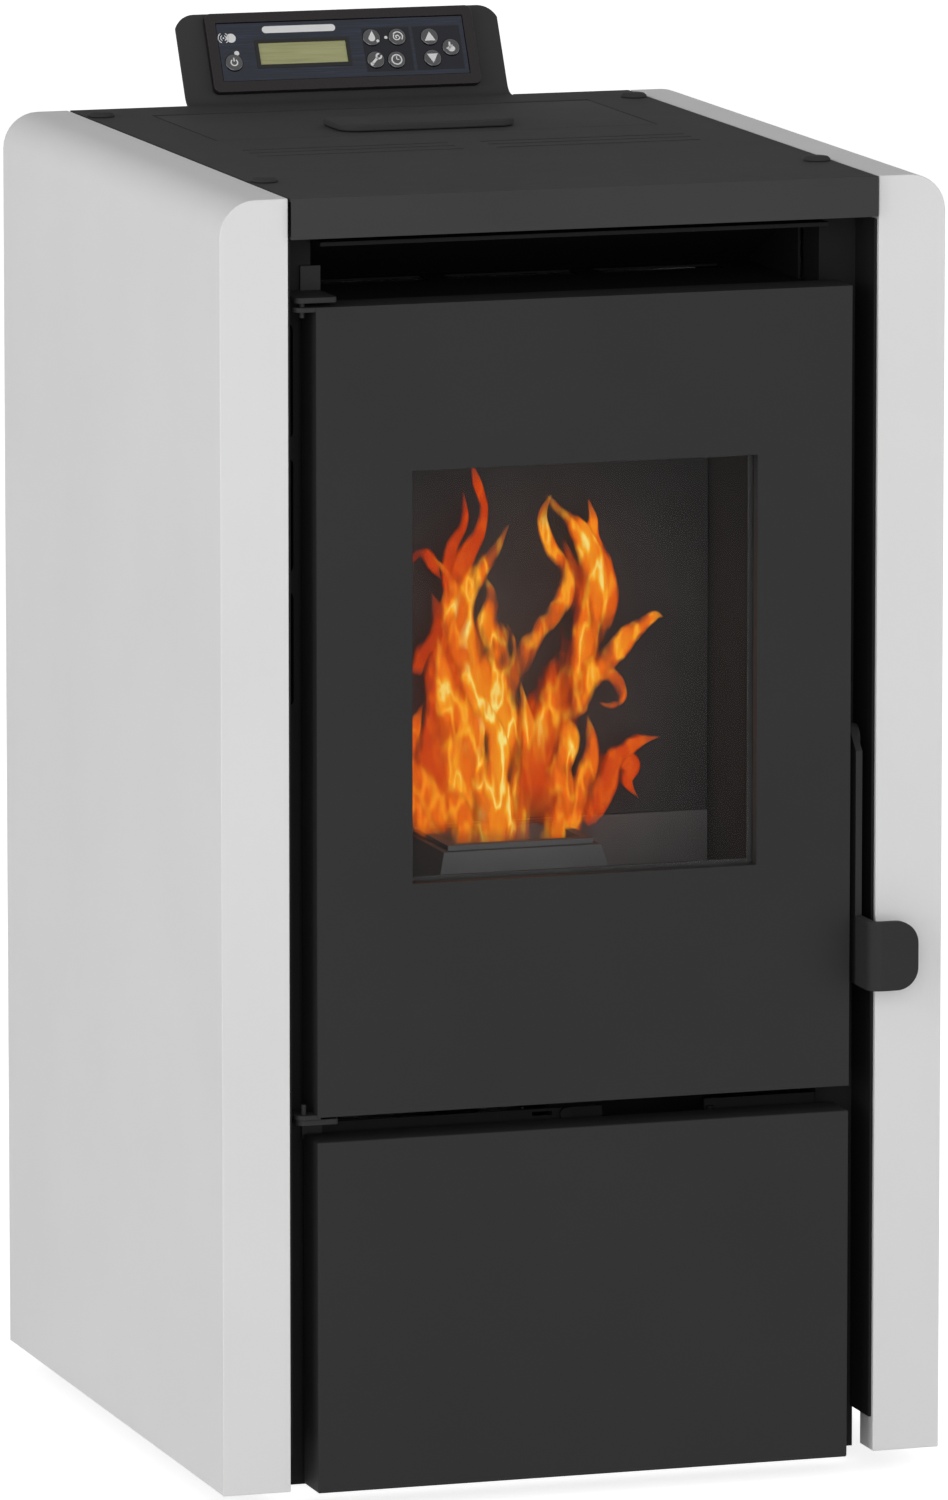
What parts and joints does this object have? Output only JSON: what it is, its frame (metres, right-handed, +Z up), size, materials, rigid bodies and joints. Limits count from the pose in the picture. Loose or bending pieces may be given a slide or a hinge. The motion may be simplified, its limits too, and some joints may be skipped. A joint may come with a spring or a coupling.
{
  "type": "pellet stove",
  "caption": "Narrow free-standing pellet stove with grey side panels, black door with window, latch, hopper lid, display and full feed, fire, smoke and air path.",
  "frame": {"origin": "centre of the outline seen from above, on the floor under the feet", "axes": "+Z up, -Y towards the front of the stove, +X to the right seen from the front"},
  "size_m": [0.43, 0.517, 0.8045],
  "materials": {
    "grey_paint": "satin",
    "black_paint": "matte",
    "galvanised_steel": "satin",
    "lining_steel": "matte",
    "window_glass": "gloss",
    "rope_seal": "matte",
    "bare_steel": "satin",
    "cast_iron": "matte",
    "black_plastic": "matte",
    "circuit_board": "matte",
    "red_plastic": "gloss",
    "face_film": "satin",
    "screen_film": "gloss",
    "key_dome": "gloss"
  },
  "bodies": {
    "stove": {"side_panel_left": "grey_paint", "side_panel_right": "grey_paint", "top_plate": "black_paint", "rear_panel": "galvanised_steel", "frame_tub": "galvanised_steel", "post_left": "black_paint", "post_right": "black_paint", "cross_sheet": "black_paint", "hinge_upper": "black_paint", "hinge_lower": "black_paint", "latch_striker": "bare_steel", "firebox": "lining_steel", "fireback": "lining_steel", "pot_holder": "cast_iron", "igniter": "bare_steel", "outlet_duct": "black_paint", "hopper": "galvanised_steel", "auger_tube": "galvanised_steel", "auger_gear_motor": "black_plastic", "flue_duct": "lining_steel", "smoke_fan_housing": "galvanised_steel", "smoke_fan_motor": "black_plastic", "room_blower_housing": "galvanised_steel", "room_blower_motor": "black_plastic", "control_board": "circuit_board", "power_inlet": "black_plastic", "display_housing": "black_plastic", "display_face": "face_film", "display_screen": "screen_film", "top_screw_front_left": "black_paint", "top_screw_front_right": "black_paint", "top_screw_rear_left": "black_paint", "top_screw_rear_right": "black_paint"},
    "door": {"door_frame": "black_paint", "door_liner": "lining_steel", "door_glass": "window_glass", "door_gasket": "rope_seal"},
    "latch": {"latch_lever": "black_paint"},
    "lid": {"hopper_lid": "black_paint", "lid_handle_bar": "black_paint"},
    "lower_panel": {"lower_front_panel": "black_paint"},
    "pot": {"burn_pot": "cast_iron"},
    "drawer": {"ash_drawer": "galvanised_steel"},
    "auger": {"auger_screw": "bare_steel"},
    "impeller": {"smoke_impeller": "bare_steel"},
    "rotor": {"room_blower_rotor": "galvanised_steel"},
    "rocker": {"rocker_switch": "red_plastic"},
    "reset": {"reset_button": "red_plastic"},
    "power_key": {"key_power": "key_dome"},
    "flame_key": {"key_flame": "key_dome"},
    "spiral_key": {"key_spiral": "key_dome"},
    "up_key": {"key_up": "key_dome"},
    "wrench_key": {"key_wrench": "key_dome"},
    "clock_key": {"key_clock": "key_dome"},
    "down_key": {"key_down": "key_dome"},
    "hand_key": {"key_hand": "key_dome"},
    "front_left_foot": {"foot_front_left": "black_plastic"},
    "front_right_foot": {"foot_front_right": "black_plastic"},
    "rear_left_foot": {"foot_rear_left": "black_plastic"},
    "rear_right_foot": {"foot_rear_right": "black_plastic"}
  },
  "joints": [
    {"name": "door_swing", "type": "hinge", "parent": "stove", "child": "door", "pos_m": [-0.1655, -0.2275, 0.46], "axis": [0, 0, -1], "range_deg": [0, 110]},
    {"name": "latch_lift", "type": "hinge", "parent": "door", "child": "latch", "pos_m": [0.1647, -0.2145, 0.4283], "axis": [-1, 0, 0], "range_deg": [0, 20]},
    {"name": "lid_lift", "type": "hinge", "parent": "stove", "child": "lid", "pos_m": [0, 0.1691, 0.7486], "axis": [-1, 0, 0], "range_deg": [0, 100]},
    {"name": "lower_panel_pull", "type": "slide", "parent": "stove", "child": "lower_panel", "axis": [0, -1, 0], "range_m": [0, 0.03]},
    {"name": "pot_lift", "type": "slide", "parent": "stove", "child": "pot", "axis": [0, 0, 1], "range_m": [0, 0.08]},
    {"name": "drawer_pull", "type": "slide", "parent": "stove", "child": "drawer", "axis": [0, -1, 0], "range_m": [0, 0.022]},
    {"name": "auger_turn", "type": "hinge", "parent": "stove", "child": "auger", "pos_m": [0, -0.0005, 0.626], "axis": [0, -0.342, 0.9397], "continuous": true},
    {"name": "impeller_spin", "type": "hinge", "parent": "stove", "child": "impeller", "pos_m": [0.08, 0.0425, 0.129], "axis": [0, 1, 0], "continuous": true},
    {"name": "rotor_spin", "type": "hinge", "parent": "stove", "child": "rotor", "pos_m": [-0.133, 0.0975, 0.114], "axis": [1, 0, 0], "continuous": true},
    {"name": "rocker_tip", "type": "hinge", "parent": "stove", "child": "rocker", "pos_m": [0.13, 0.2112, 0.102], "axis": [1, 0, 0], "range_deg": [0, 10]},
    {"name": "reset_press", "type": "slide", "parent": "stove", "child": "reset", "axis": [0, -1, 0], "range_m": [0, 0.002], "stiffness_N_per_m": 400},
    {"name": "power_press", "type": "slide", "parent": "stove", "child": "power_key", "axis": [0, 0.8829, -0.4695], "range_m": [0, 0.0008], "stiffness_N_per_m": 500},
    {"name": "flame_press", "type": "slide", "parent": "stove", "child": "flame_key", "axis": [0, 0.8829, -0.4695], "range_m": [0, 0.0008], "stiffness_N_per_m": 500},
    {"name": "spiral_press", "type": "slide", "parent": "stove", "child": "spiral_key", "axis": [0, 0.8829, -0.4695], "range_m": [0, 0.0008], "stiffness_N_per_m": 500},
    {"name": "up_press", "type": "slide", "parent": "stove", "child": "up_key", "axis": [0, 0.8829, -0.4695], "range_m": [0, 0.0008], "stiffness_N_per_m": 500},
    {"name": "wrench_press", "type": "slide", "parent": "stove", "child": "wrench_key", "axis": [0, 0.8829, -0.4695], "range_m": [0, 0.0008], "stiffness_N_per_m": 500},
    {"name": "clock_press", "type": "slide", "parent": "stove", "child": "clock_key", "axis": [0, 0.8829, -0.4695], "range_m": [0, 0.0008], "stiffness_N_per_m": 500},
    {"name": "down_press", "type": "slide", "parent": "stove", "child": "down_key", "axis": [0, 0.8829, -0.4695], "range_m": [0, 0.0008], "stiffness_N_per_m": 500},
    {"name": "hand_press", "type": "slide", "parent": "stove", "child": "hand_key", "axis": [0, 0.8829, -0.4695], "range_m": [0, 0.0008], "stiffness_N_per_m": 500},
    {"name": "front_left_foot_level", "type": "slide", "parent": "stove", "child": "front_left_foot", "axis": [0, 0, -1], "range_m": [0, 0.01]},
    {"name": "front_right_foot_level", "type": "slide", "parent": "stove", "child": "front_right_foot", "axis": [0, 0, -1], "range_m": [0, 0.01]},
    {"name": "rear_left_foot_level", "type": "slide", "parent": "stove", "child": "rear_left_foot", "axis": [0, 0, -1], "range_m": [0, 0.01]},
    {"name": "rear_right_foot_level", "type": "slide", "parent": "stove", "child": "rear_right_foot", "axis": [0, 0, -1], "range_m": [0, 0.01]}
  ]
}
